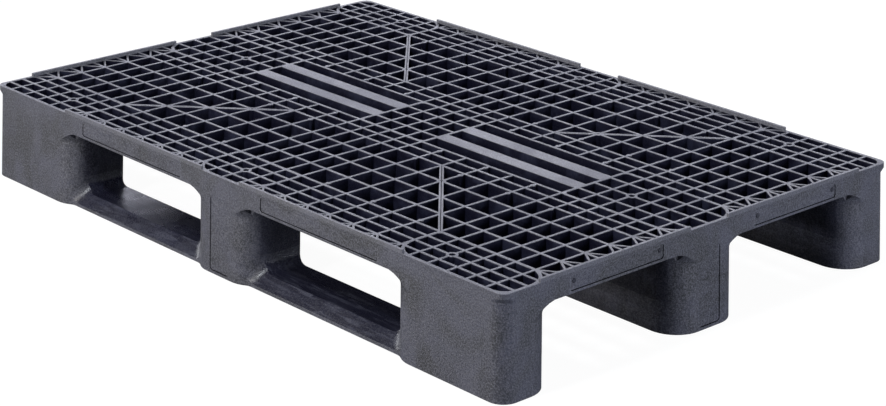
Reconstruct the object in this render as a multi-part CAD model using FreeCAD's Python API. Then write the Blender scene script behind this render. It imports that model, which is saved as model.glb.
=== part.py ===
import FreeCAD, Part
import math
import os

# Plastic pallet, 1200 x 800 mm, with an open rib deck, nine legs and three runners.
# Millimetres, +Z up. The origin is the centre of the footprint on the ground. X runs along
# the runners, -Y is the front long side, +X is the right short side.

# Driving dimensions of the whole pallet
LENGTH = 1200.0
WIDTH = 800.0
DECK_TOP = 145.0        # load surface above the ground
DECK_DEPTH = 29.0       # depth of the deck ribs and of the skirt
RIM_HEIGHT = 5.0        # load-retaining rim above the load surface
RUNNER_HEIGHT = 20.0
FOOT_HEIGHT = 45.0      # the runners carry the lower part of each leg up to here

# Where the legs stand: centre lines of their inner walls
MIDDLE_LEG_X = 73.0
END_LEG_X = 375.0
MIDDLE_LEG_Y = 67.2
SIDE_LEG_Y = 304.5
CLOSE_CELLS_Y = 118.0   # the deck cells are half as long up to this line

# Walls, ribs and radii
LEG_WALL = 5.0
SKIRT_WALL = 4.0
DECK_RIB = 4.0
FAN_RIB = 3.2
INNER_RIB = 3.0
CORNER_RADIUS = 25.0    # the pallet's own four corners
LEG_RADIUS = 46.0       # leg corners next to an opening, on the pallet's outside
LEG_INNER_RADIUS = 12.0
FLARE_RADIUS = 20.0     # legs flow into the deck and into the runners with this radius
MIDDLE_FILLET = 18.0    # the same on the middle runner, which is bevelled on both sides
FLARE_REACH = 16.0      # the top flare is cut off here, where it is about 0.4 mm thick
FIT = 0.4               # clearance between parts that slip into each other
JOIN_OVERLAP = 1.0      # how far features sink into each other where they are fused

# Corner lip of the deck
LIP_HEIGHT = 7.5
LIP_RADIUS = 13.0
LIP_CHAMFER = 6.5

# Retaining rim: where it ends next to a leg, measured from the inner wall's centre line
RIM_SETBACK = 28.0

# Centre bars between the slots
BAR_INNER_Y = 14.7
BAR_OUTER_Y = 38.0
BAR_SKIN = 5.0

# Diagonal stiffeners
DIAGONAL_WIDTH = 6.5
GROOVE_WIDTH = 1.4
GROOVE_DEPTH = 1.5
SMALL_BOSS_DIAMETER = 14.0
SMALL_BOSS_HOLE = 5.0

# Round pads on the deck ribs
PAD_DIAMETER = 8.0
PAD_OFFSET = 9.0

# Screws that hold the deck to the legs, down through the ring bosses
RING_BOSS_DIAMETER = 17.0
RING_BOSS_BORE = 9.6
RING_BOSS_X = 450.0
DECK_SCREW_HEAD = 9.0
DECK_SCREW_HEAD_HEIGHT = 4.0
DECK_SCREW_SEAT = 126.0
DECK_SCREW_LENGTH = 60.0

# Screws that hold the runners to the legs, up through the feet
RUNNER_SCREW_HEAD = 11.0
RUNNER_SCREW_HEAD_HEIGHT = 4.0
RUNNER_SCREW_SEAT = 12.0
RUNNER_SCREW_LENGTH = 70.0
RUNNER_SCREW_BORE = 12.0
FOOT_BOSS_DIAMETER = 18.0
LEG_BOSS_DIAMETER = 15.0
SCREW_SHANK = 5.0
SCREW_HOLE = 5.4
HOLE_SPARE = 2.0        # blind holes are this much deeper than the screws
HEX_SOCKET = 4.0
HEX_SOCKET_DEPTH = 2.5

# Spigots that locate the legs in the deck and on the runners
SPIGOT_WALL = 3.0
SPIGOT_HEIGHT = 9.0

# Runner boards
BOARD_INSET = 10.0      # board edges stand back from the leg walls
BOARD_EDGE = 4.5        # height of the thin outer edge below the bevel
BOARD_SKIN = 4.0
BOARD_SIDE = 6.0
BOARD_CELLS = 6
FOOT_FLOOR = 6.0
DRAIN_HOLE = 10.0

# Obround pockets under the skirt, at both ends of each opening
POCKET_HEIGHT = 10.0
POCKET_DEPTH = 12.0     # below the outer planes; the leg corners curve back by up to as much
POCKET_DROP = 31.0      # top of the pocket below the load surface
POCKET_IN = 17.0
POCKET_OUT = 16.0

# Name plates, blank
PLATE_BOTTOM = 119.0
PLATE_TOP = 140.0
PLATE_RADIUS = 4.0
PLATE_THICKNESS = 1.6
PLATE_RECESS = 2.2
LONG_PLATE_HALF = 129.0
SHORT_PLATE_HALF = 91.0
PLATE_GAP = 0.4
STUD_DIAMETER = 3.2
STUD_PROUD = 1.5
STUD_INSET = 16.0
RIVET_INSET = 7.5
RIVET_Z = 132.5
RIVET_HEAD = 7.0
RIVET_SHANK = 3.2
RIVET_LENGTH = 6.0

# Blank panels on the middle legs
PANEL_HALF_WIDTH = 22.0
PANEL_BOTTOM = 4.0
PANEL_TOP = 114.0
PANEL_RADIUS = 6.0
PANEL_THICKNESS = 1.2
PANEL_RECESS = 1.7
PANEL_STUD_X = 12.0
PANEL_STUD_HEIGHTS = (75.0, 95.0)

# Values that follow from the driving dimensions
HALF_LENGTH = LENGTH / 2
HALF_WIDTH = WIDTH / 2
DECK_UNDERSIDE = DECK_TOP - DECK_DEPTH
HALF_WALL = LEG_WALL / 2
OPENING_X = (MIDDLE_LEG_X + END_LEG_X) / 2
OPENING_Y = (MIDDLE_LEG_Y + SIDE_LEG_Y) / 2
SIDE_LEG_MIDDLE = (SIDE_LEG_Y - HALF_WALL + HALF_WIDTH) / 2
SPIGOT_OUTSIDE = LEG_WALL + FIT
SPIGOT_INSIDE = SPIGOT_OUTSIDE + SPIGOT_WALL
TINY = 0.01
ORIGIN = FreeCAD.Vector(0, 0, 0)
X_AXIS = FreeCAD.Vector(1, 0, 0)
Y_AXIS = FreeCAD.Vector(0, 1, 0)
Z_AXIS = FreeCAD.Vector(0, 0, 1)

# The pallet is symmetric about both centre planes, so everything is modelled in the back
# right quarter, where x and y are positive, and then mirrored.
COLUMNS = {
    "middle": (-MIDDLE_LEG_X - HALF_WALL, MIDDLE_LEG_X + HALF_WALL),
    "right": (END_LEG_X - HALF_WALL, HALF_LENGTH),
}
ROWS = {
    "middle": (-MIDDLE_LEG_Y - HALF_WALL, MIDDLE_LEG_Y + HALF_WALL),
    "back": (SIDE_LEG_Y - HALF_WALL, HALF_WIDTH),
}
WEB_Y = {"middle": 0.0, "back": SIDE_LEG_MIDDLE}


def spaced(start, end, cells):
    """Positions that divide the stretch from start to end into equal cells, without start."""
    return [start + (end - start) * k / cells for k in range(1, cells + 1)]


# Centre lines of the deck ribs, from the centre outwards
X_IN_MIDDLE = spaced(0, MIDDLE_LEG_X, 2)
X_IN_OPENING = spaced(MIDDLE_LEG_X, END_LEG_X, 6)
X_IN_END = spaced(END_LEG_X, HALF_LENGTH, 6)[:-1]
Y_IN_MIDDLE = spaced(0, MIDDLE_LEG_Y, 2)
Y_CLOSE = spaced(MIDDLE_LEG_Y, CLOSE_CELLS_Y, 2)
Y_IN_OPENING = spaced(CLOSE_CELLS_Y, SIDE_LEG_Y, 4)
Y_IN_SIDE = spaced(SIDE_LEG_Y, HALF_WIDTH, 4)[:-1]
X_LINES = [0.0] + X_IN_MIDDLE + X_IN_OPENING + X_IN_END
Y_LINES = [0.0] + Y_IN_MIDDLE + Y_CLOSE + Y_IN_OPENING + Y_IN_SIDE
DIAGONAL_START = (X_IN_OPENING[1], CLOSE_CELLS_Y)
DIAGONAL_END = (END_LEG_X, SIDE_LEG_Y)
DIAGONAL_BOSS = (X_IN_OPENING[2], Y_IN_OPENING[0])


class Outline:
    """A rounded rectangle in plan, with its own radius at each corner."""

    def __init__(self, x0, y0, x1, y1, radii):
        self.x0, self.y0, self.x1, self.y1 = x0, y0, x1, y1
        self.radii = radii

    def inset(self, distance):
        """The outline moved inwards, or outwards for a negative distance."""
        radii = [max(radius - distance, 1.0) for radius in self.radii]
        return Outline(
            self.x0 + distance, self.y0 + distance,
            self.x1 - distance, self.y1 - distance, radii,
        )

    def wire(self, z):
        corners = [
            (self.x0, self.y0, 1, 1, 180), (self.x1, self.y0, -1, 1, 270),
            (self.x1, self.y1, -1, -1, 0), (self.x0, self.y1, 1, -1, 90),
        ]
        arcs = []
        for (x, y, inward_x, inward_y, start), radius in zip(corners, self.radii):
            points = []
            for turn in (0, 45, 90):
                angle = math.radians(start + turn)
                points.append(FreeCAD.Vector(
                    x + radius * (inward_x + math.cos(angle)),
                    y + radius * (inward_y + math.sin(angle)), z))
            arcs.append(points)
        edges = []
        for here, following in zip(arcs, arcs[1:] + arcs[:1]):
            edges.append(Part.Arc(*here).toShape())
            edges.append(Part.makeLine(here[2], following[0]))
        return Part.Wire(edges)

    def prism(self, z0, z1):
        return Part.Face(self.wire(z0)).extrude(Z_AXIS * (z1 - z0))

    def ring(self, outer_inset, inner_inset, z0, z1):
        """A wall that follows the outline between two insets."""
        return self.inset(outer_inset).prism(z0, z1).cut(self.inset(inner_inset).prism(z0, z1))

    def middle_y(self):
        return (self.y0 + self.y1) / 2


def leg_outline(row, column):
    """Outline of a leg; its corners' radii depend on how many outer faces meet there."""
    x0, x1 = COLUMNS[column]
    y0, y1 = ROWS[row]
    by_outer_faces = (LEG_INNER_RADIUS, LEG_RADIUS, CORNER_RADIUS)
    radii = []
    for x, y in ((x0, y0), (x1, y0), (x1, y1), (x0, y1)):
        radii.append(by_outer_faces[(abs(x) == HALF_LENGTH) + (abs(y) == HALF_WIDTH)])
    return Outline(x0, y0, x1, y1, radii)


def pallet_outline(radius):
    return Outline(-HALF_LENGTH, -HALF_WIDTH, HALF_LENGTH, HALF_WIDTH, [radius] * 4)


LEGS = {(row, column): leg_outline(row, column) for row in ROWS for column in COLUMNS}
PALLET = pallet_outline(CORNER_RADIUS)


def box(x0, y0, z0, x1, y1, z1):
    return Part.makeBox(x1 - x0, y1 - y0, z1 - z0, FreeCAD.Vector(x0, y0, z0))


def pin(x, y, z0, z1, diameter):
    return Part.makeCylinder(diameter / 2, z1 - z0, FreeCAD.Vector(x, y, z0))


def rib_between(start, end, width, z0, z1):
    """A straight upright rib between two points in plan."""
    rib = Part.makeBox(math.dist(start, end), width, z1 - z0, FreeCAD.Vector(0, -width / 2, 0))
    angle = math.degrees(math.atan2(end[1] - start[1], end[0] - start[0]))
    rib.rotate(ORIGIN, Z_AXIS, angle)
    rib.translate(FreeCAD.Vector(start[0], start[1], z0))
    return rib


def fused(first, others):
    return first.multiFuse(others).removeSplitter()


def without(shape, cuts):
    return shape.cut(Part.makeCompound(cuts)).removeSplitter()


def flip_x(shape):
    return shape.mirror(ORIGIN, X_AXIS)


def flip_y(shape):
    return shape.mirror(ORIGIN, Y_AXIS)


def group_with_images(pieces):
    """Pieces of the back right quarter with their mirror images, as separate solids."""
    group = list(pieces)
    group += [flip_x(piece) for piece in group if piece.BoundBox.Center.x > TINY]
    group += [flip_y(piece) for piece in group if piece.BoundBox.Center.y > TINY]
    return Part.makeCompound(group)


def runner_screw_places(row, column):
    across = [-X_IN_MIDDLE[0], X_IN_MIDDLE[0]]
    if column == "right":
        across = [X_IN_END[0], X_IN_END[-1]]
    return [(x, WEB_Y[row]) for x in across]


def deck_screw_place(row, column):
    """Ring boss above a leg; the centre leg has none."""
    if (row, column) == ("middle", "middle"):
        return None
    return (RING_BOSS_X if column == "right" else 0.0, WEB_Y[row])


def deck_grid():
    """The straight ribs, left out where the slots beside the centre bars are."""
    ribs = []
    for x in X_LINES:
        y0 = MIDDLE_LEG_Y if MIDDLE_LEG_X < x < END_LEG_X - TINY else -DECK_RIB
        ribs.append(box(x - DECK_RIB / 2, y0, DECK_UNDERSIDE, x + DECK_RIB / 2, HALF_WIDTH,
                        DECK_TOP))
    for y in Y_LINES:
        spans = [(-DECK_RIB, HALF_LENGTH)]
        if y < MIDDLE_LEG_Y - TINY:
            spans = [(-DECK_RIB, MIDDLE_LEG_X), (END_LEG_X, HALF_LENGTH)]
        for x0, x1 in spans:
            ribs.append(box(x0, y - DECK_RIB / 2, DECK_UNDERSIDE, x1, y + DECK_RIB / 2,
                            DECK_TOP))
    return ribs


def centre_bar():
    """Flat-topped bar between two slots, open below."""
    bar = box(MIDDLE_LEG_X, BAR_INNER_Y, DECK_UNDERSIDE, END_LEG_X, BAR_OUTER_Y, DECK_TOP)
    hollow = box(MIDDLE_LEG_X, BAR_INNER_Y + DECK_RIB, DECK_UNDERSIDE,
                 END_LEG_X, BAR_OUTER_Y - DECK_RIB, DECK_TOP - BAR_SKIN)
    return bar.cut(hollow)


def fan_ribs():
    """Zigzag ribs that brace the skirt between the legs."""
    ribs = []
    long_nodes = [MIDDLE_LEG_X] + X_IN_OPENING
    short_nodes = [MIDDLE_LEG_Y, CLOSE_CELLS_Y] + Y_IN_OPENING
    for near, far in zip(long_nodes, long_nodes[1:]):
        apex = ((near + far) / 2, HALF_WIDTH - SKIRT_WALL / 2)
        for node in (near, far):
            ribs.append(rib_between((node, Y_IN_SIDE[-1]), apex, FAN_RIB, DECK_UNDERSIDE,
                                    DECK_TOP))
    for near, far in zip(short_nodes, short_nodes[1:]):
        apex = (HALF_LENGTH - SKIRT_WALL / 2, (near + far) / 2)
        for node in (near, far):
            ribs.append(rib_between((X_IN_END[-1], node), apex, FAN_RIB, DECK_UNDERSIDE,
                                    DECK_TOP))
    return ribs


def deck_pads():
    """Round pads on the ribs."""
    places = [(x, y) for x in (X_IN_OPENING[0], X_IN_OPENING[2], X_IN_OPENING[4])
              for y in (MIDDLE_LEG_Y + PAD_OFFSET, CLOSE_CELLS_Y + PAD_OFFSET,
                        SIDE_LEG_Y - PAD_OFFSET)]
    places.append((X_IN_END[0], CLOSE_CELLS_Y + PAD_OFFSET))
    return [pin(x, y, DECK_UNDERSIDE, DECK_TOP, PAD_DIAMETER) for x, y in places]


def deck_rims():
    """Raised rim on the skirt between the legs."""
    bottom = DECK_TOP - JOIN_OVERLAP
    top = DECK_TOP + RIM_HEIGHT
    long_rim = box(MIDDLE_LEG_X - RIM_SETBACK, HALF_WIDTH - SKIRT_WALL, bottom,
                   END_LEG_X + RIM_SETBACK, HALF_WIDTH, top)
    short_rim = box(HALF_LENGTH - SKIRT_WALL, MIDDLE_LEG_Y - RIM_SETBACK, bottom,
                    HALF_LENGTH, SIDE_LEG_Y + RIM_SETBACK, top)
    return [long_rim, short_rim]


def corner_lip():
    """The deck's top edge has tighter corners than the rest, with a chamfer below."""
    tight = pallet_outline(LIP_RADIUS)
    lip_bottom = DECK_TOP - LIP_HEIGHT
    lip = tight.prism(lip_bottom, DECK_TOP)
    chamfer = Part.makeLoft([PALLET.wire(lip_bottom - LIP_CHAMFER), tight.wire(lip_bottom)], True)
    inside = PALLET.inset(SKIRT_WALL).prism(DECK_UNDERSIDE, DECK_TOP)
    return lip.fuse(chamfer).cut(inside)


def deck_quarter():
    ribs = deck_grid() + [centre_bar()] + fan_ribs() + deck_pads()
    ribs.append(rib_between(DIAGONAL_START, DIAGONAL_END, DIAGONAL_WIDTH, DECK_UNDERSIDE,
                            DECK_TOP))
    ribs.append(pin(*DIAGONAL_BOSS, DECK_UNDERSIDE, DECK_TOP, SMALL_BOSS_DIAMETER))
    inside = PALLET.inset(SKIRT_WALL / 2).prism(DECK_UNDERSIDE, DECK_TOP)
    solids = [rib.common(inside) for rib in ribs]
    solids += [PALLET.ring(0, SKIRT_WALL, DECK_UNDERSIDE, DECK_TOP), corner_lip()]
    solids += deck_rims()
    cuts = [
        rib_between(DIAGONAL_START, DIAGONAL_END, GROOVE_WIDTH, DECK_TOP - GROOVE_DEPTH, DECK_TOP),
        pin(*DIAGONAL_BOSS, DECK_UNDERSIDE, DECK_TOP, SMALL_BOSS_HOLE),
        long_plate_recess(), short_plate_recess(),
    ]
    for place, leg in LEGS.items():
        solids.append(leg.ring(0, LEG_WALL, DECK_UNDERSIDE, DECK_TOP))
        solids.append(leg.ring(SPIGOT_OUTSIDE, SPIGOT_INSIDE, DECK_UNDERSIDE - SPIGOT_HEIGHT,
                               DECK_UNDERSIDE + 2 * JOIN_OVERLAP))
        screw = deck_screw_place(*place)
        if screw:
            solids.append(pin(*screw, DECK_UNDERSIDE, DECK_TOP, RING_BOSS_DIAMETER))
            cuts.append(pin(*screw, DECK_SCREW_SEAT, DECK_TOP, RING_BOSS_BORE))
            cuts.append(pin(*screw, DECK_UNDERSIDE, DECK_SCREW_SEAT, SCREW_HOLE))
    quarter = box(0, 0, 0, HALF_LENGTH, HALF_WIDTH, DECK_TOP + RIM_HEIGHT)
    solids = [solid.common(quarter) for solid in solids]
    return without(fused(solids[0], solids[1:]), cuts)


def make_deck():
    quarter = deck_quarter()
    half = fused(quarter, [flip_x(quarter)])
    return fused(half, [flip_y(half)])


def flared_column(outline):
    """A leg's solid column whose top flares out under the deck."""
    column = outline.prism(FOOT_HEIGHT, DECK_UNDERSIDE)
    flange = outline.inset(-FLARE_RADIUS - JOIN_OVERLAP).prism(
        DECK_UNDERSIDE, DECK_UNDERSIDE + FLARE_RADIUS)
    body = column.fuse(flange)
    near = outline.inset(-JOIN_OVERLAP).prism(DECK_UNDERSIDE - TINY, DECK_UNDERSIDE + TINY)
    edges = [edge for edge in body.Edges if near.BoundBox.isInside(edge.BoundBox)]
    body = body.makeFillet(FLARE_RADIUS, edges)
    reach = outline.inset(-FLARE_REACH).prism(FOOT_HEIGHT, DECK_UNDERSIDE)
    room = PALLET.prism(FOOT_HEIGHT, DECK_UNDERSIDE)
    return body.common(reach).common(room)


def obround_pocket(reach):
    """A pocket with one round end at x = 0, cut into the face y = 0 and open towards +X."""
    middle = DECK_TOP - POCKET_DROP - POCKET_HEIGHT / 2
    slot = box(0, -POCKET_DEPTH, middle - POCKET_HEIGHT / 2, reach, TINY,
               middle + POCKET_HEIGHT / 2)
    end = Part.makeCylinder(POCKET_HEIGHT / 2, POCKET_DEPTH + TINY,
                            FreeCAD.Vector(0, -POCKET_DEPTH, middle), Y_AXIS)
    return slot.fuse(end)


def skirt_pockets(row, column):
    """Pockets in the outer corners of a leg, where it meets the skirt of an opening."""
    leg = LEGS[row, column]
    from_wall = POCKET_IN - POCKET_HEIGHT / 2
    pocket = obround_pocket(from_wall + POCKET_OUT)
    pockets = []
    if row == "back":
        inwards = flip_x(pocket)
        inwards.translate(FreeCAD.Vector(leg.x0 + from_wall, HALF_WIDTH, 0))
        pockets.append(inwards)
        if column == "middle":
            pockets.append(flip_x(inwards))
    if column == "right":
        inwards = pocket.copy()
        inwards.rotate(ORIGIN, Z_AXIS, -90)
        inwards.translate(FreeCAD.Vector(HALF_LENGTH, leg.y0 + from_wall, 0))
        pockets.append(inwards)
        if row == "middle":
            pockets.append(flip_y(inwards))
    return pockets


def inner_webs(row, column, z0, z1):
    """Webs inside a leg: one lengthwise, and cross webs on the deck's rib lines."""
    leg = LEGS[row, column]
    y = WEB_Y[row]
    webs = [box(leg.x0 + HALF_WALL, y - INNER_RIB / 2, z0,
                leg.x1 - HALF_WALL, y + INNER_RIB / 2, z1)]
    for x in ([RING_BOSS_X, X_IN_END[3]] if column == "right" else [0.0]):
        webs.append(box(x - INNER_RIB / 2, leg.y0 + HALF_WALL, z0,
                        x + INNER_RIB / 2, leg.y1 - HALF_WALL, z1))
    return webs


def make_leg(row, column):
    leg = LEGS[row, column]
    hollow = leg.inset(LEG_WALL).prism(FOOT_HEIGHT, DECK_UNDERSIDE)
    shell = flared_column(leg).cut(hollow)
    foot_spigot_top = FOOT_HEIGHT + SPIGOT_HEIGHT
    web_bottom = foot_spigot_top + FIT
    web_top = DECK_UNDERSIDE - SPIGOT_HEIGHT - FIT
    inside = inner_webs(row, column, web_bottom, web_top)
    cuts = skirt_pockets(row, column) + panel_recesses()
    for x, y in runner_screw_places(row, column):
        inside.append(pin(x, y, foot_spigot_top, web_top, LEG_BOSS_DIAMETER))
        cuts.append(pin(x, y, foot_spigot_top, RUNNER_SCREW_SEAT + RUNNER_SCREW_LENGTH + HOLE_SPARE,
                        SCREW_HOLE))
    screw = deck_screw_place(row, column)
    if screw:
        tip = DECK_SCREW_SEAT - DECK_SCREW_LENGTH
        inside.append(pin(*screw, web_bottom, DECK_UNDERSIDE, LEG_BOSS_DIAMETER))
        cuts.append(pin(*screw, tip - HOLE_SPARE, DECK_UNDERSIDE, SCREW_HOLE))
    return without(fused(shell, inside), cuts)


def section_prism(points, x0, x1):
    """A solid with a cross-section given as (y, z) points, from x0 to x1."""
    corners = [FreeCAD.Vector(x0, y, z) for y, z in points]
    face = Part.Face(Part.makePolygon(corners + corners[:1]))
    return face.extrude(X_AXIS * (x1 - x0))


def board_edges(row):
    """The board's two edges in Y and the bevel on the top of each of them."""
    bevel = RUNNER_HEIGHT - BOARD_EDGE
    inner_bevel = bevel if row == "middle" else 0.0
    return ROWS[row][0] + BOARD_INSET, ROWS[row][1] - BOARD_INSET, inner_bevel, bevel


def bevelled_section(y0, y1, top, low, high):
    """Cross-section with a bevel on both top edges; without a low bevel that edge is square."""
    points = [(y0, 0), (y1, 0), (y1, top - high), (y1 - high, top)]
    if low > 0:
        return points + [(y0 + low, top), (y0, top - low)]
    return points + [(y0, top)]


def runner_board(row):
    """Right half of a board, without its feet."""
    y0, y1, low, high = board_edges(row)
    section = bevelled_section(y0, y1, RUNNER_HEIGHT, low, high)
    return section_prism(section, 0, HALF_LENGTH - LEG_RADIUS)


def board_pockets(row):
    """Cells open to the ground, which leave a top skin, side walls, cross ribs and a spine."""
    y0, y1, low, high = board_edges(row)
    section = bevelled_section(y0 + BOARD_SIDE, y1 - BOARD_SIDE, RUNNER_HEIGHT - BOARD_SKIN,
                               low - BOARD_SKIN, high - BOARD_SKIN)
    start = MIDDLE_LEG_X + HALF_WALL
    pitch = (END_LEG_X - HALF_WALL - start) / BOARD_CELLS
    spine = box(start, WEB_Y[row] - BOARD_SKIN / 2, 0, END_LEG_X, WEB_Y[row] + BOARD_SKIN / 2,
                RUNNER_HEIGHT)
    pockets = []
    for cell in range(BOARD_CELLS):
        x0 = start + cell * pitch + BOARD_SKIN / 2
        pockets.append(section_prism(section, x0, x0 + pitch - BOARD_SKIN).cut(spine))
    return pockets


def runs_along(edge, wall):
    """Whether an edge of the board lies on a foot's wall, above the ground."""
    bounds = edge.BoundBox
    if bounds.ZMax > RUNNER_HEIGHT + TINY or bounds.ZMax < TINY:
        return False
    first, last = edge.ParameterRange
    for fraction in (0.0, 0.5, 1.0):
        point = Part.Vertex(edge.valueAt(first + (last - first) * fraction))
        if wall.distToShape(point)[0] > TINY:
            return False
    return True


def filleted_half(row):
    """Right half of a runner's outside: the board flows into solid feet."""
    outlines = [LEGS[row, column] for column in COLUMNS]
    feet = [outline.prism(0, FOOT_HEIGHT) for outline in outlines]
    right = box(0, -WIDTH, 0, LENGTH, WIDTH, FOOT_HEIGHT)
    body = fused(runner_board(row), feet).common(right)
    walls = [outline.prism(-FOOT_HEIGHT, 2 * FOOT_HEIGHT).Shells[0] for outline in outlines]
    edges = [edge for edge in body.Edges if any(runs_along(edge, wall) for wall in walls)]
    radius = MIDDLE_FILLET if row == "middle" else FLARE_RADIUS
    return body.makeFillet(radius, edges)


def make_runner(row):
    half = filleted_half(row)
    pockets = board_pockets(row)
    inside = []
    bores = panel_recesses()
    top = FOOT_HEIGHT + SPIGOT_HEIGHT
    for column in COLUMNS:
        leg = LEGS[row, column]
        pockets.append(leg.inset(LEG_WALL).prism(FOOT_FLOOR, FOOT_HEIGHT))
        inside += inner_webs(row, column, FOOT_FLOOR - JOIN_OVERLAP, FOOT_HEIGHT - FIT)
        inside.append(leg.ring(LEG_WALL - JOIN_OVERLAP, SPIGOT_INSIDE,
                               FOOT_HEIGHT - SPIGOT_HEIGHT, FOOT_HEIGHT))
        inside.append(leg.ring(SPIGOT_OUTSIDE, SPIGOT_INSIDE, FOOT_HEIGHT - JOIN_OVERLAP, top))
        for x, y in runner_screw_places(row, column):
            inside.append(pin(x, y, 0, top, FOOT_BOSS_DIAMETER))
            bores.append(pin(x, y, 0, RUNNER_SCREW_SEAT, RUNNER_SCREW_BORE))
            bores.append(pin(x, y, RUNNER_SCREW_SEAT, top, SCREW_HOLE))
        quarter_width = (leg.y1 - leg.y0) / 4
        for x in ([X_IN_END[2]] if column == "right" else [X_IN_MIDDLE[0]]):
            for y in (leg.middle_y() - quarter_width, leg.middle_y() + quarter_width):
                bores.append(pin(x, y, 0, FOOT_FLOOR, DRAIN_HOLE))
    right = box(0, -WIDTH, 0, LENGTH, WIDTH, 2 * FOOT_HEIGHT)
    inside = [piece.common(right) for piece in inside]
    half = without(fused(without(half, pockets), inside), bores)
    return fused(half, [flip_x(half)])


def hex_socket(x, y, z):
    """Driver socket that goes down from height z."""
    radius = HEX_SOCKET / math.sqrt(3)
    corners = []
    for k in range(6):
        angle = math.radians(60 * k)
        corners.append(FreeCAD.Vector(
            x + radius * math.cos(angle), y + radius * math.sin(angle), z))
    face = Part.Face(Part.makePolygon(corners + corners[:1]))
    return face.extrude(Z_AXIS * -HEX_SOCKET_DEPTH)


def make_deck_screws():
    screws = []
    top = DECK_SCREW_SEAT + DECK_SCREW_HEAD_HEIGHT
    for place in LEGS:
        screw = deck_screw_place(*place)
        if screw:
            head = pin(*screw, DECK_SCREW_SEAT, top, DECK_SCREW_HEAD)
            shank = pin(*screw, DECK_SCREW_SEAT - DECK_SCREW_LENGTH, top, SCREW_SHANK)
            screws.append(head.fuse(shank).cut(hex_socket(*screw, top)).removeSplitter())
    return group_with_images(screws)


def make_runner_screws():
    screws = []
    bottom = RUNNER_SCREW_SEAT - RUNNER_SCREW_HEAD_HEIGHT
    for place in LEGS:
        for x, y in runner_screw_places(*place):
            if x > 0:
                head = pin(x, y, bottom, RUNNER_SCREW_SEAT, RUNNER_SCREW_HEAD)
                shank = pin(x, y, bottom, RUNNER_SCREW_SEAT + RUNNER_SCREW_LENGTH, SCREW_SHANK)
                socket = hex_socket(x, y, bottom + HEX_SOCKET_DEPTH)
                screws.append(head.fuse(shank).cut(socket).removeSplitter())
    return group_with_images(screws)


def side_pad(half_width, bottom, top, radius, depth):
    """A rounded plate that stands upright, from the face y = 0 back to y = -depth."""
    pad = Outline(-half_width, bottom, half_width, top, [radius] * 4).prism(0, depth)
    pad.rotate(ORIGIN, X_AXIS, 90)
    return pad


def stud(x, z, length, diameter):
    """A round stud that goes in from the face y = 0."""
    return Part.makeCylinder(diameter / 2, length, FreeCAD.Vector(x, 0, z), Y_AXIS * -1)


def on_back(shape, along):
    """Move a shape modelled on the face y = 0 to the back long side."""
    placed = shape.copy()
    placed.translate(FreeCAD.Vector(along, HALF_WIDTH, 0))
    return placed


def on_right(shape, along):
    """Move a shape modelled on the face y = 0 to the right short side."""
    placed = shape.copy()
    placed.rotate(ORIGIN, Z_AXIS, -90)
    placed.translate(FreeCAD.Vector(HALF_LENGTH, along, 0))
    return placed


# Studs and rivets along a plate, from its middle
STUD_PLACES = (-LONG_PLATE_HALF + STUD_INSET, LONG_PLATE_HALF - STUD_INSET)
RIVET_PLACES = (-SHORT_PLATE_HALF + RIVET_INSET, SHORT_PLATE_HALF - RIVET_INSET)
STUD_Z = (PLATE_BOTTOM + PLATE_TOP) / 2


def plate_recess(half_width, fixings, height):
    recess = side_pad(half_width, PLATE_BOTTOM, PLATE_TOP, PLATE_RADIUS, PLATE_RECESS)
    holes = [stud(x, height, 2 * SKIRT_WALL, STUD_DIAMETER + FIT) for x in fixings]
    return recess.multiFuse(holes)


def long_plate_recess():
    return on_back(plate_recess(LONG_PLATE_HALF, STUD_PLACES, STUD_Z), OPENING_X)


def short_plate_recess():
    return on_right(plate_recess(SHORT_PLATE_HALF, RIVET_PLACES, RIVET_Z), OPENING_Y)


def plate_blank(half_width):
    return side_pad(half_width - PLATE_GAP, PLATE_BOTTOM + PLATE_GAP, PLATE_TOP - PLATE_GAP,
                    PLATE_RADIUS - PLATE_GAP, PLATE_THICKNESS)


def make_long_plate():
    """A blank plate of the long side, which clips into the skirt with two studs."""
    length = PLATE_THICKNESS + SKIRT_WALL - PLATE_RECESS + STUD_PROUD
    studs = [stud(x, STUD_Z, length, STUD_DIAMETER) for x in STUD_PLACES]
    plate = fused(plate_blank(LONG_PLATE_HALF), studs)
    plate.translate(Y_AXIS * (PLATE_THICKNESS - PLATE_RECESS))
    return on_back(plate, OPENING_X)


def make_short_plate():
    """A blank plate of the short side, which is riveted to the skirt."""
    holes = [stud(x, RIVET_Z, SKIRT_WALL, RIVET_SHANK + FIT) for x in RIVET_PLACES]
    plate = without(plate_blank(SHORT_PLATE_HALF), holes)
    plate.translate(Y_AXIS * (PLATE_THICKNESS - PLATE_RECESS))
    return on_right(plate, OPENING_Y)


def make_rivets():
    rivets = []
    for x in RIVET_PLACES:
        head = stud(x, RIVET_Z, PLATE_RECESS - PLATE_THICKNESS, RIVET_HEAD)
        shank = stud(x, RIVET_Z, RIVET_LENGTH, RIVET_SHANK)
        rivets.append(on_right(head.fuse(shank).removeSplitter(), OPENING_Y))
    return group_with_images(rivets)


def panel_studs(length, diameter):
    return [stud(x, z, length, diameter)
            for x in (-PANEL_STUD_X, PANEL_STUD_X) for z in PANEL_STUD_HEIGHTS]


def panel_recesses():
    """Recesses in the outer faces of the middle legs, down into the runners' feet."""
    recess = side_pad(PANEL_HALF_WIDTH, PANEL_BOTTOM, PANEL_TOP, PANEL_RADIUS, PANEL_RECESS)
    recess = recess.multiFuse(panel_studs(2 * LEG_WALL, STUD_DIAMETER + FIT))
    return [on_back(recess, 0), on_right(recess, 0)]


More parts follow.
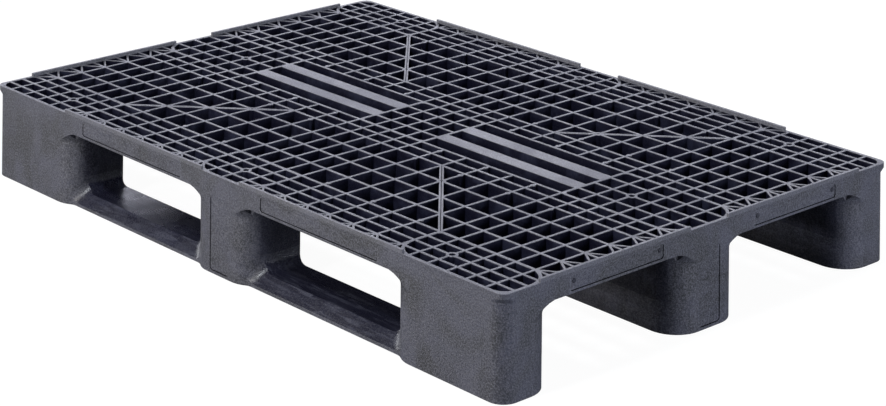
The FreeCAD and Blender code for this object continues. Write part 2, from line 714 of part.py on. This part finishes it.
def make_panel():
    """A blank panel that clips into a panel recess, on the face y = 0."""
    length = PANEL_THICKNESS + LEG_WALL - PANEL_RECESS + STUD_PROUD
    blank = side_pad(PANEL_HALF_WIDTH - PLATE_GAP, PANEL_BOTTOM + PLATE_GAP,
                     PANEL_TOP - PLATE_GAP, PANEL_RADIUS - PLATE_GAP, PANEL_THICKNESS)
    panel = fused(blank, panel_studs(length, STUD_DIAMETER))
    panel.translate(Y_AXIS * (PANEL_THICKNESS - PANEL_RECESS))
    return panel


def add_images(parts, pattern, shape):
    """Add a piece of the back right quarter, and its mirror images, under their names."""
    for row in ("back", "front") if "{row}" in pattern else ("middle",):
        for column in ("right", "left") if "{column}" in pattern else ("middle",):
            image = flip_y(shape) if row == "front" else shape
            image = flip_x(image) if column == "left" else image
            parts[pattern.format(row=row, column=column)] = image


def build():
    parts = {
        "deck": make_deck(),
        "plate_rivets": make_rivets(),
        "deck_screws": make_deck_screws(),
        "runner_screws": make_runner_screws(),
    }
    add_images(parts, "runner_{row}", make_runner("back"))
    add_images(parts, "runner_middle", make_runner("middle"))
    add_images(parts, "leg_{row}_{column}", make_leg("back", "right"))
    add_images(parts, "leg_{row}_middle", make_leg("back", "middle"))
    add_images(parts, "leg_middle_{column}", make_leg("middle", "right"))
    add_images(parts, "leg_centre", make_leg("middle", "middle"))
    add_images(parts, "plate_{row}_{column}", make_long_plate())
    add_images(parts, "plate_{column}_{row}", make_short_plate())
    add_images(parts, "panel_{row}", on_back(make_panel(), 0))
    add_images(parts, "panel_{column}", on_right(make_panel(), 0))
    return parts


os.makedirs("parts", exist_ok=True)
for name, shape in build().items():
    shape.exportStep(f"parts/{name}.step")
    print(name, len(shape.Solids), shape.isValid(), round(shape.Volume / 1000), "cm3")
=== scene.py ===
import math
from collections import namedtuple

import bpy
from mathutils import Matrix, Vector


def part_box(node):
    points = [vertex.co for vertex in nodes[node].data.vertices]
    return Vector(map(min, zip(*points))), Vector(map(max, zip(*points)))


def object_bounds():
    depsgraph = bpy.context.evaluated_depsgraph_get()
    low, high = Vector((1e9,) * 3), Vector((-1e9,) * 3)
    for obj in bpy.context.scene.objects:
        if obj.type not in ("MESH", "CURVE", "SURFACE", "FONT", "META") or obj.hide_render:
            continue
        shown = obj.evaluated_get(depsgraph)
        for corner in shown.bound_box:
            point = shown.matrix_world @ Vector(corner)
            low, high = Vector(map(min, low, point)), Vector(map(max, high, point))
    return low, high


# Looks for a pallet of dark recycled plastic: moulded plastic with flow marks, worn edges,
# a plain pale floor and soft studio light. Metres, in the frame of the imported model.

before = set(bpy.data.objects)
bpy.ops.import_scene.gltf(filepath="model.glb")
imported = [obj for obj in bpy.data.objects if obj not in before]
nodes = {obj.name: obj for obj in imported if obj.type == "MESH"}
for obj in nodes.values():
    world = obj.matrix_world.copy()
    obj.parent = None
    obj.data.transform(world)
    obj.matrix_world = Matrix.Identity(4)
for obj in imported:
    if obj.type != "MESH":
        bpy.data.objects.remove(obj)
cad_low, cad_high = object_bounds()

# Camera: almost level and aimed down by its lens shift, so that upright edges stay upright
CAMERA_PLACE = Vector((2.9364, -2.6562, 1.3909))
CAMERA_HEADING = 47.576
CAMERA_PITCH = -0.033
CAMERA_ROLL = -0.538
CAMERA_LENS = 102.38
CAMERA_SENSOR = 36.0
CAMERA_CLIP = (0.05, 100.0)
CAMERA_SHIFT = -0.9853
SHIFT_REACH = 0.05          # the shift holds only this near the camera's own place

# Colours of the plastic, linear
BLACK = (0.0, 0.0, 0.0)
WHITE = (1.0, 1.0, 1.0)
DARK_PLASTIC = (0.026, 0.0265, 0.027)
LIGHT_PLASTIC = (0.056, 0.058, 0.080)
FLOW_TINT = (0.088, 0.089, 0.112)
# Light tone of wear on edges and of specks, also laid on the rib tops as painted sheen
WEAR_AND_SHEEN_TONE = (0.26, 0.26, 0.29)
PIT_TONE = (0.012, 0.012, 0.016)
# Dark tones of the painted shade inside the pallet, and of the lighter patches in it
PAINTED_SHADE_TONE = (0.007, 0.007, 0.016)
PAINTED_SHADE_PATCH = (0.024, 0.026, 0.046)
# Painted shade in the gaps round plates and on the rivets' edges
GAP_SHADE_TONE = (0.004, 0.004, 0.005)

# Which way the flow marks run: how fast they change along X, Y and Z
LENGTHWISE = (0.12, 1.0, 1.0)
UPRIGHT = (1.0, 1.0, 0.22)
ALONG_SKIRT = (0.45, 0.45, 1.0)
NO_FLOW = (1.0, 1.0, 1.0)

# Noises of the plastic, the scale in waves per metre
Noise = namedtuple("Noise", "scale detail roughness distortion", defaults=(0.0,))
NOISES = {
    "clouds": Noise(10.0, 5.0, 0.55, 1.2),
    "streaks": Noise(60.0, 4.0, 0.6, 0.6),
    "swirls": Noise(22.0, 7.0, 0.68, 3.0),
    "mottle": Noise(395.0, 4.0, 0.72),
    "specks": Noise(900.0, 1.0, 0.5),
    "grain": Noise(520.0, 3.0, 0.6, 0.8),
    "waves": Noise(34.0, 2.0, 0.5),
}
FLOWING = ("streaks", "swirls")
LIGHTER_PATCHES = Noise(21.0, 3.0, 0.6)
DRAWN_STREAKS = Noise(150.0, 5.0, 0.6, 0.8)

# Layers of colour, lowest first: the noise values where each starts and is full, its strength
Layer = namedtuple("Layer", "noise start full strength tint")
CLOUD_SPAN = (0.34, 0.66)
LAYERS = (
    Layer("streaks", 0.48, 0.74, 0.38, FLOW_TINT),
    Layer("swirls", 0.53, 0.66, 0.40, FLOW_TINT),
    Layer("mottle", 0.42, 0.61, 0.80, FLOW_TINT),
    Layer("grain", 0.52, 0.38, 0.55, PIT_TONE),
    Layer("specks", 0.64, 0.72, 0.35, WEAR_AND_SHEEN_TONE),
)

# Worn edges: how far the softened normal leans there, and the mottle that breaks them up
EDGE_LEAN = (0.01, 0.16)
EDGE_MOTTLE = (0.3, 0.6)

# Shine and roughness: spans of the noises, and what they are carried to
SHINE_MOTTLE = (0.40, 0.62)
SHINE_RANGE = (0.55, 1.35)
ROUGH_SPAN = (0.3, 0.7)
CLOUD_ROUGHNESS = (-0.05, 0.08)
MOTTLE_ROUGHNESS = (-0.05, 0.07)
EDGE_ROUGHNESS = 0.10

# Heights of the fine bumps, for the whole range of each noise
BUMPS = {"grain": 0.00055, "mottle": 0.00035, "waves": 0.0006, "streaks": 0.0004}

# The pallet's outline, and the depths inside it where painted shade starts and is full
CORNER_RADIUS = 0.025
DECK_SHADE_DEPTHS = (0.003, 0.004)
LEG_SHADE_DEPTHS = (0.010, 0.036)

# In the painted shade: the shine that is left, and the lighter patches
PAINTED_SHADE_GLOSS = 0.12
PATCH_SPAN = (0.50, 0.68)
RIB_PATCHES = 0.7
LEG_PATCHES = 0.2

# The boards' bevels and tops: how far painted shade darkens them under the deck, how much
# smoother than the feet, and streaks
BOARD_TOP_SHADE = 0.88
BOARD_POLISH = 0.18
BOARD_BUMPS = 0.35
DRAWN_SPAN = (0.50, 0.66)
DRAWN_STRENGTH = 0.55
FACES_UP = (0.15, 0.45)     # upward part of a face's normal, from not a top to wholly a top

# Rib tops: where the cells' painted shade starts below them, and how much painted sheen lightens
# the tops themselves
RIM_HEIGHT = 0.005          # how far the retaining rim stands above the rib tops
DECK_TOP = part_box("deck")[1].z - RIM_HEIGHT
CELL_SHADE_START = 0.0012
TOP_SKIN = 0.0003
PAINTED_TOP_SHEEN = 0.16

# The painted shade line at two sides of a plate or panel, in the gap where the recess's ledge
# faces the camera
GAP_LINE = (0.0007, 0.0016)
PLATE_CORNER = 0.005

# Joint planes between legs, runners and deck. The real pallet shows no rounded edge there.
JOINT_HEIGHTS = (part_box("leg_centre")[0].z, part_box("leg_centre")[1].z)
JOINT_CLEARANCE = 0.004
BEVEL_SAMPLES = 4

PLASTIC_IOR = 1.5

# Zinc-plated screws: dark and light zinc, and fine scratches along the shank
DARK_ZINC = (0.33, 0.34, 0.36)
LIGHT_ZINC = (0.52, 0.53, 0.55)
ZINC_BLOOM = Noise(420.0, 4.0, 0.6)
ZINC_SCRATCHES = Noise(2600.0, 2.0, 0.5)
BLOOM_SPAN = (0.35, 0.65)
SCRATCH_STRETCH = (1.0, 1.0, 0.15)
SCRATCH_ROUGHNESS = (0.28, 0.46)
SCRATCH_HEIGHT = 0.00004

# The floor: its paint, the share of its brightness that is even, and what it throws back up
FLOOR_HALF_SIDE = 30.0
FLOOR_HEIGHT = -0.0004
FLOOR_PATCHES = Noise(3.0, 3.0, 0.5)
FLOOR_SPAN = (0.3, 0.7)
FLOOR_PAINT = ((0.86, 0.86, 0.86), (0.90, 0.90, 0.90))
FLOOR_GLOW = 0.9
GLOW_STRENGTH = 1.06
FLOOR_BOUNCE = (0.16, 0.17, 0.19)

# Tints of the lamps and of the light from all round
WARM_WHITE = (1.0, 0.955, 0.90)
COOL_WHITE = (0.95, 0.97, 1.0)
PALE_BLUE = (0.93, 0.96, 1.0)
ICE_BLUE = (0.90, 0.94, 1.0)
SKY_BLUE = (0.84, 0.88, 1.0)
DUSK_BLUE = (0.84, 0.85, 1.0)
ROOM_TINT = (0.90, 0.93, 1.0)
ROOM_STRENGTH = 0.15


class Shader:
    """Builds the nodes of one material or world step by step."""

    def __init__(self, owner):
        self.owner = owner
        self.owner.use_nodes = True
        self.tree = self.owner.node_tree
        self.tree.nodes.clear()

    def link(self, source, target):
        """Feed a socket from another socket, or give it a plain value."""
        if isinstance(source, bpy.types.NodeSocket):
            self.tree.links.new(source, target)
        else:
            target.default_value = source

    def node(self, kind, inputs=None, **settings):
        made = self.tree.nodes.new("ShaderNode" + kind)
        for key, value in settings.items():
            setattr(made, key, value)
        for key, value in (inputs or {}).items():
            self.link(value, made.inputs[key])
        return made

    def maths(self, operation, *values):
        return self.node("Math", dict(enumerate(values)), operation=operation).outputs[0]

    def vector(self, operation, *values):
        return self.node("VectorMath", dict(enumerate(values)), operation=operation).outputs

    def times(self, first, second):
        return self.maths("MULTIPLY", first, second)

    def total(self, first, *others):
        for other in others:
            first = self.maths("ADD", first, other)
        return first

    def mix(self, share, first, second, data_type="RGBA"):
        made = self.node("Mix", {"Factor": share, "A": first, "B": second}, data_type=data_type)
        return made.outputs["Result"]

    def span(self, value, low, high, to_low=0.0, to_high=1.0):
        """The value carried smoothly from one span to another, and held at its ends."""
        given = dict(enumerate((value, low, high, to_low, to_high)))
        return self.node("MapRange", given, interpolation_type="SMOOTHSTEP").outputs[0]

    def faded(self, share, at_none, at_full):
        """A value that goes from one number to another as the share goes from 0 to 1."""
        return self.span(share, 0.0, 1.0, at_none, at_full)

    def place(self):
        return self.node("TexCoord").outputs["Object"]

    def parts(self, place):
        return self.node("SeparateXYZ", {"Vector": place}).outputs

    def true_normal(self):
        return self.node("NewGeometry").outputs["Normal"]

    def stretched(self, place, scale):
        return self.node("Mapping", {"Vector": place, "Scale": scale}).outputs[0]

    def noise(self, place, noise):
        made = self.node("TexNoise", {
            "Vector": place, "Scale": noise.scale, "Detail": noise.detail,
            "Roughness": noise.roughness, "Distortion": noise.distortion,
        })
        return made.outputs[0]

    def finish(self, **inputs):
        """Close the material with one surface that takes these inputs."""
        named = {key.replace("_", " "): value for key, value in inputs.items()}
        surface = self.node("BsdfPrincipled", named)
        self.node("OutputMaterial", {"Surface": surface.outputs[0]})
        return self.owner


def colour(rgb):
    return (*rgb, 1.0)


def edge_rounding(shader, place, radius):
    """(normal with softened edges, how far it leans from the true one), flat at the joints."""
    height = shader.parts(place)["Z"]
    apart = [shader.maths("ABSOLUTE", shader.maths("SUBTRACT", height, joint))
             for joint in JOINT_HEIGHTS]
    clear = shader.span(shader.maths("MINIMUM", *apart), JOINT_CLEARANCE / 2, JOINT_CLEARANCE)
    true = shader.true_normal()
    soft = shader.node("Bevel", {"Radius": radius}, samples=BEVEL_SAMPLES).outputs[0]
    normal = shader.mix(clear, true, soft, "VECTOR")
    agreement = shader.vector("DOT_PRODUCT", normal, true)["Value"]
    return normal, shader.maths("SUBTRACT", 1.0, agreement)


def depth_inside(shader, place):
    """How far a point lies inside the pallet's outline, a rectangle with rounded corners."""
    flat = shader.vector("MULTIPLY", place, (1.0, 1.0, 0.0))[0]
    apart = shader.vector("ABSOLUTE", flat)[0]
    straight = (cad_high.x - CORNER_RADIUS, cad_high.y - CORNER_RADIUS, 0.0)
    past = shader.vector("SUBTRACT", apart, straight)[0]
    held = shader.vector("MAXIMUM", past, (0.0, 0.0, 0.0))[0]
    return shader.maths("SUBTRACT", CORNER_RADIUS, shader.vector("LENGTH", held)["Value"])


def rib_tops(shader, place):
    """1 on top of the deck's ribs, 0 a little below."""
    height = shader.parts(place)["Z"]
    return shader.span(height, DECK_TOP - CELL_SHADE_START, DECK_TOP - TOP_SKIN)


def upward(shader):
    """1 on faces that look up, 0 on upright faces and on those that look down."""
    return shader.span(shader.parts(shader.true_normal())["Z"], *FACES_UP)


def gap_line(shader, place, low, high):
    """1 along two sides of a thin plate whose box is given, 0 on the rest of it: painted shade
    in the gap at one end and at the bottom, where the recess's ledges face the camera."""
    parts = shader.parts(place)
    endways = shader.maths("SUBTRACT", parts["X"], low.x)
    if high.y - low.y > high.x - low.x:
        endways = shader.maths("SUBTRACT", high.y, parts["Y"])
    upwards = shader.maths("SUBTRACT", parts["Z"], low.z)
    short = [shader.maths("MAXIMUM", shader.maths("SUBTRACT", PLATE_CORNER, away), 0.0)
             for away in (endways, upwards)]
    squares = shader.total(*[shader.times(side, side) for side in short])
    to_rim = shader.maths("SUBTRACT", PLATE_CORNER, shader.maths("SQRT", squares))
    return shader.span(to_rim, *GAP_LINE, 1.0, 0.0)


def open_plastic(shader, noises):
    """(colour of the plastic outside the painted shade, share of each layer in it by the name of
    its noise).
    """
    body = shader.mix(shader.span(noises["clouds"], *CLOUD_SPAN), colour(DARK_PLASTIC),
                      colour(LIGHT_PLASTIC))
    shares = {}
    for layer in LAYERS:
        shown = shader.span(noises[layer.noise], layer.start, layer.full)
        shares[layer.noise] = shader.times(shown, layer.strength)
        body = shader.mix(shares[layer.noise], body, colour(layer.tint))
    return body, shares


def painted_shade_plastic(shader, place, shares, ribbed, board):
    """Colour of the painted shade inside the pallet, with lighter patches and flow marks."""
    strength = RIB_PATCHES if ribbed else LEG_PATCHES
    patches = shader.span(shader.noise(place, LIGHTER_PATCHES), *PATCH_SPAN, 0.0, strength)
    dark = shader.mix(patches, colour(PAINTED_SHADE_TONE), colour(PAINTED_SHADE_PATCH))
    flow_marks = shader.total(shares["streaks"], shares["swirls"])
    dark = shader.mix(flow_marks, dark, colour(PAINTED_SHADE_PATCH))
    if board:
        drawn = shader.noise(shader.stretched(place, LENGTHWISE), DRAWN_STREAKS)
        drawn = shader.span(drawn, *DRAWN_SPAN, 0.0, DRAWN_STRENGTH)
        dark = shader.mix(drawn, dark, colour(LIGHT_PLASTIC))
    return dark


def plastic_roughness(shader, noises, roughness, rubbed):
    low, high = CLOUD_ROUGHNESS
    clouded = shader.span(noises["clouds"], *ROUGH_SPAN, roughness + low, roughness + high)
    mottled = shader.span(noises["mottle"], *ROUGH_SPAN, *MOTTLE_ROUGHNESS)
    return shader.total(clouded, mottled, shader.times(rubbed, EDGE_ROUGHNESS))


def moulded_plastic(name, flow, tone=1.0, roughness=0.46, wear=0.5, gloss=0.5, shade_depths=None,
                    ribbed=False, board=False, rim=None, edge_radius=0.0006,
                    edge_tone=WEAR_AND_SHEEN_TONE):
    """Recycled plastic. flow is how fast the flow marks change along X, Y and Z; painted shade
    fades in between the two depths given for it, and rim the box of an inset plate.
    A board's tops get more painted shade than the feet that stand on it, and are smoother."""
    shader = Shader(bpy.data.materials.new(name))
    place = shader.place()
    along = shader.stretched(place, flow)
    if board:
        tops = upward(shader)
        along = shader.mix(tops, along, shader.stretched(place, LENGTHWISE), "VECTOR")
    noises = {key: shader.noise(along if key in FLOWING else place, noise)
              for key, noise in NOISES.items()}

    body, shares = open_plastic(shader, noises)
    normal, lean = edge_rounding(shader, place, edge_radius)
    rubbed = shader.times(shader.span(lean, *EDGE_LEAN),
                          shader.span(noises["mottle"], *EDGE_MOTTLE))
    body = shader.mix(shader.times(rubbed, wear), body, colour(edge_tone))
    dullest, shiniest = SHINE_RANGE
    shine = shader.span(noises["mottle"], *SHINE_MOTTLE, gloss * dullest, gloss * shiniest)
    rough = plastic_roughness(shader, noises, roughness, rubbed)
    bump_strength = 1.0

    # Painted shade: deep inside the pallet's outline the plastic takes the dark shade colour and,
    # except on boards, loses most of its shine
    if shade_depths:
        unshaded = shader.span(depth_inside(shader, place), *shade_depths, 1.0, 0.0)
        if ribbed:
            # Painted sheen: the rib tops stay out of the painted shade and are lightened toward
            # the light wear tone
            crests = rib_tops(shader, place)
            unshaded = shader.maths("MAXIMUM", unshaded, crests)
            body = shader.mix(shader.times(crests, PAINTED_TOP_SHEEN), body, colour(WEAR_AND_SHEEN_TONE))
        if board:
            # Painted shade: the boards' upward faces, under the deck, get more of it
            unshaded = shader.times(unshaded, shader.faded(tops, 1.0, 1.0 - BOARD_TOP_SHADE))
            rough = shader.maths("SUBTRACT", rough, shader.times(tops, BOARD_POLISH))
            bump_strength = shader.faded(tops, 1.0, BOARD_BUMPS)
        else:
            shine = shader.times(shine, shader.faded(unshaded, PAINTED_SHADE_GLOSS, 1.0))
        body = shader.mix(unshaded, painted_shade_plastic(shader, place, shares, ribbed, board), body)
    if rim:
        # Painted shade line in the gap at two sides of the plate, which also takes away its shine
        line = gap_line(shader, place, *rim)
        body = shader.mix(line, body, colour(GAP_SHADE_TONE))
        shine = shader.times(shine, shader.maths("SUBTRACT", 1.0, line))
    body = shader.mix(1.0 - tone, body, colour(BLACK))

    heights = shader.total(*[shader.times(noises[key], height) for key, height in BUMPS.items()])
    bump = shader.node("Bump", {"Strength": bump_strength, "Distance": 1.0, "Height": heights,
                                "Normal": normal})
    return shader.finish(Base_Color=body, Roughness=rough, Normal=bump.outputs[0],
                         IOR=PLASTIC_IOR, Specular_IOR_Level=shine)


def screw_steel():
    """Zinc-plated steel. Brushed rings round a head are too small to see, so fine noise."""
    shader = Shader(bpy.data.materials.new("screw_steel"))
    place = shader.place()
    bloom = shader.noise(place, ZINC_BLOOM)
    scratches = shader.noise(shader.stretched(place, SCRATCH_STRETCH), ZINC_SCRATCHES)
    body = shader.mix(shader.span(bloom, *BLOOM_SPAN), colour(DARK_ZINC), colour(LIGHT_ZINC))
    rough = shader.span(scratches, *ROUGH_SPAN, *SCRATCH_ROUGHNESS)
    bump = shader.node("Bump", {"Strength": 1.0, "Distance": SCRATCH_HEIGHT, "Height": scratches})
    return shader.finish(Base_Color=body, Roughness=rough, Metallic=1.0,
                         Normal=bump.outputs[0])


def make_finishes():
    """Materials by the kind of part that wears them, and one for each plate and panel."""
    steel = screw_steel()
    finishes = {
        "deck": moulded_plastic("deck_plastic", ALONG_SKIRT, wear=0.9, shade_depths=DECK_SHADE_DEPTHS,
                                ribbed=True, edge_radius=0.0014),
        "runner": moulded_plastic("runner_plastic", UPRIGHT, shade_depths=LEG_SHADE_DEPTHS, board=True),
        "leg": moulded_plastic("leg_plastic", UPRIGHT, shade_depths=LEG_SHADE_DEPTHS),
        # The rivets' edges take the gap's dark tone: painted shade round each head
        "plate_rivets": moulded_plastic("rivet_plastic", NO_FLOW, tone=0.7, wear=1.0,
                                        gloss=0.15, edge_radius=0.0020, edge_tone=GAP_SHADE_TONE),
        "deck_screws": steel,
        "runner_screws": steel,
    }
    for name in nodes:
        if name.startswith(("plate_", "panel_")) and name not in finishes:
            finishes[name] = moulded_plastic(name + "_plastic", ALONG_SKIRT, tone=0.95,
                                             roughness=0.43, wear=0.3, rim=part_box(name))
    return finishes


def dress(finishes):
    """Give each node the material of its own name, or else that of its kind."""
    for name, node in nodes.items():
        kind = name if name in finishes else name.split("_")[0]
        node.data.materials.clear()
        node.data.materials.append(finishes[kind])


def floor_material():
    """Pale paint that glows evenly, so that the shadows on it stay faint. To all but the
    camera it is dim, so that it throws little light up, and from below it is clear, so that
    the pallet's underside can be looked at."""
    shader = Shader(bpy.data.materials.new("floor_paint"))
    patches = shader.span(shader.noise(shader.place(), FLOOR_PATCHES), *FLOOR_SPAN)
    pale = shader.mix(patches, *[colour(paint) for paint in FLOOR_PAINT])
    matt = shader.node("BsdfDiffuse", {"Color": pale}).outputs[0]
    glow = shader.node("Emission", {"Color": colour(WHITE), "Strength": GLOW_STRENGTH}).outputs[0]
    bright = shader.node("MixShader", {0: FLOOR_GLOW, 1: matt, 2: glow}).outputs[0]
    dim = shader.node("BsdfDiffuse", {"Color": colour(FLOOR_BOUNCE)}).outputs[0]
    seen = shader.node("LightPath").outputs["Is Camera Ray"]
    above = shader.node("MixShader", {0: seen, 1: dim, 2: bright}).outputs[0]
    clear = shader.node("BsdfTransparent").outputs[0]
    below = shader.node("NewGeometry").outputs["Backfacing"]
    surface = shader.node("MixShader", {0: below, 1: above, 2: clear}).outputs[0]
    shader.node("OutputMaterial", {"Surface": surface})
    return shader.owner


def make_floor():
    mesh = bpy.data.meshes.new("floor")
    corners = [(across * FLOOR_HALF_SIDE, along * FLOOR_HALF_SIDE, FLOOR_HEIGHT)
               for across, along in ((-1, -1), (1, -1), (1, 1), (-1, 1))]
    mesh.from_pydata(corners, [], [(0, 1, 2, 3)])
    mesh.materials.append(floor_material())
    floor = bpy.data.objects.new("floor", mesh)
    bpy.context.scene.collection.objects.link(floor)


def softbox(name, place, target, size, watts, tint):
    data = bpy.data.lights.new(name, "AREA")
    data.shape = "RECTANGLE"
    data.size, data.size_y = size
    data.energy = watts
    data.color = tint
    lamp = bpy.data.objects.new(name, data)
    lamp.location = place
    lamp.rotation_euler = (Vector(target) - Vector(place)).to_track_quat("-Z", "Y").to_euler()
    bpy.context.scene.collection.objects.link(lamp)


def make_lamps():
    """Wide low softboxes round the pallet, and two small ones above its front long side."""
    middle = (0, 0, 0.15)
    front_side = (0, -0.35, 0.05)
    softbox("front_softbox", (-1.7, -3.8, 0.75), middle, (4.2, 1.5), 142, WARM_WHITE)
    softbox("right_softbox", (4.4, 1.2, 0.8), middle, (3.6, 1.6), 165, SKY_BLUE)
    softbox("back_softbox", (-3.6, 3.9, 1.75), (0, 0, 0.1), (5.5, 1.5), 175, DUSK_BLUE)
    softbox("left_softbox", (-4.8, -0.5, 0.7), middle, (2.2, 1.2), 60, COOL_WHITE)
    softbox("rear_softbox", (0.3, 4.8, 0.7), middle, (2.6, 1.2), 85, COOL_WHITE)
    softbox("accent_softbox", (0.3, -3.6, 1.8), front_side, (0.4, 0.4), 50, ICE_BLUE)
    softbox("top_softbox", (0.3, -2.2, 3.4), front_side, (0.5, 0.4), 65, PALE_BLUE)


def make_world():
    """Soft light from all round. The camera itself sees white there."""
    shader = Shader(bpy.data.worlds.new("studio"))
    light = shader.node("Background", {"Color": colour(ROOM_TINT), "Strength": ROOM_STRENGTH})
    white = shader.node("Background", {"Color": colour(WHITE)})
    seen = shader.node("LightPath").outputs["Is Camera Ray"]
    mixed = shader.node("MixShader", {0: seen, 1: light.outputs[0], 2: white.outputs[0]})
    shader.node("OutputWorld", {"Surface": mixed.outputs[0]})
    bpy.context.scene.world = shader.owner


def make_camera():
    data = bpy.data.cameras.new("camera")
    data.sensor_width = CAMERA_SENSOR
    data.lens = CAMERA_LENS
    data.clip_start, data.clip_end = CAMERA_CLIP
    camera = bpy.data.objects.new("camera", data)
    camera.location = CAMERA_PLACE
    camera.rotation_euler = (math.radians(90 + CAMERA_PITCH), math.radians(CAMERA_ROLL),
                             math.radians(CAMERA_HEADING))
    bpy.context.scene.collection.objects.link(camera)
    bpy.context.scene.camera = camera
    hold_shift(camera)


def hold_shift(camera):
    """The lens shift belongs to the camera's own place: moved elsewhere, the shift is nil."""
    mark = bpy.data.objects.new("camera_mark", None)
    mark.location = CAMERA_PLACE
    bpy.context.scene.collection.objects.link(mark)
    curve = camera.data.driver_add("shift_y")
    for modifier in list(curve.modifiers):
        curve.modifiers.remove(modifier)
    curve.driver.type = "AVERAGE"
    variable = curve.driver.variables.new()
    variable.type = "LOC_DIFF"
    for target, thing in zip(variable.targets, (camera, mark)):
        target.id = thing
    for distance, shift in ((0.0, CAMERA_SHIFT), (SHIFT_REACH, CAMERA_SHIFT),
                            (2 * SHIFT_REACH, 0.0)):
        curve.keyframe_points.insert(distance, shift).interpolation = "LINEAR"
    curve.extrapolation = "CONSTANT"


dress(make_finishes())
make_floor()
make_lamps()
make_world()
make_camera()
bpy.context.scene.view_settings.view_transform = "Standard"
bpy.context.scene.view_settings.look = "None"
